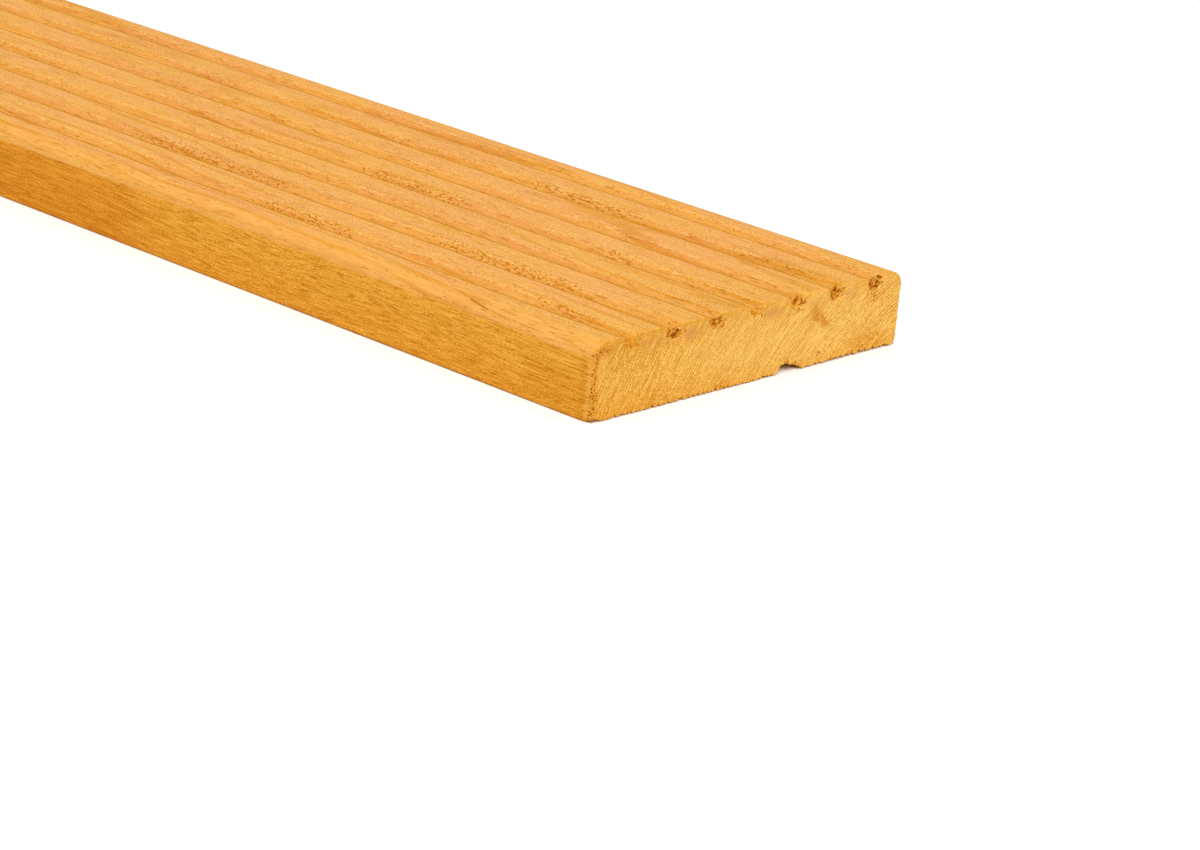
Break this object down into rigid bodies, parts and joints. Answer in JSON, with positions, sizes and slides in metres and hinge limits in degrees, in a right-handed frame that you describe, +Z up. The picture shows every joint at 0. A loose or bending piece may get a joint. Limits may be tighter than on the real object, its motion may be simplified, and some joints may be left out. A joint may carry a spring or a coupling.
{
  "type": "decking board",
  "caption": "Straight hardwood decking board with a grooved wearing face, rounded long edges and a smooth back, square-sawn at both ends.",
  "frame": {"origin": "middle of the smooth back, on the floor, halfway along and halfway across the board", "axes": "+X along the board to the sawn end that the picture shows, +Y across it from the near edge to the far edge in the picture, +Z up from the back to the grooved face"},
  "size_m": [1.85, 0.145, 0.025],
  "materials": {
    "hardwood": "planed and grooved, unfinished, matte"
  },
  "bodies": {
    "root": {"decking_board": "hardwood"}
  },
  "joints": []
}
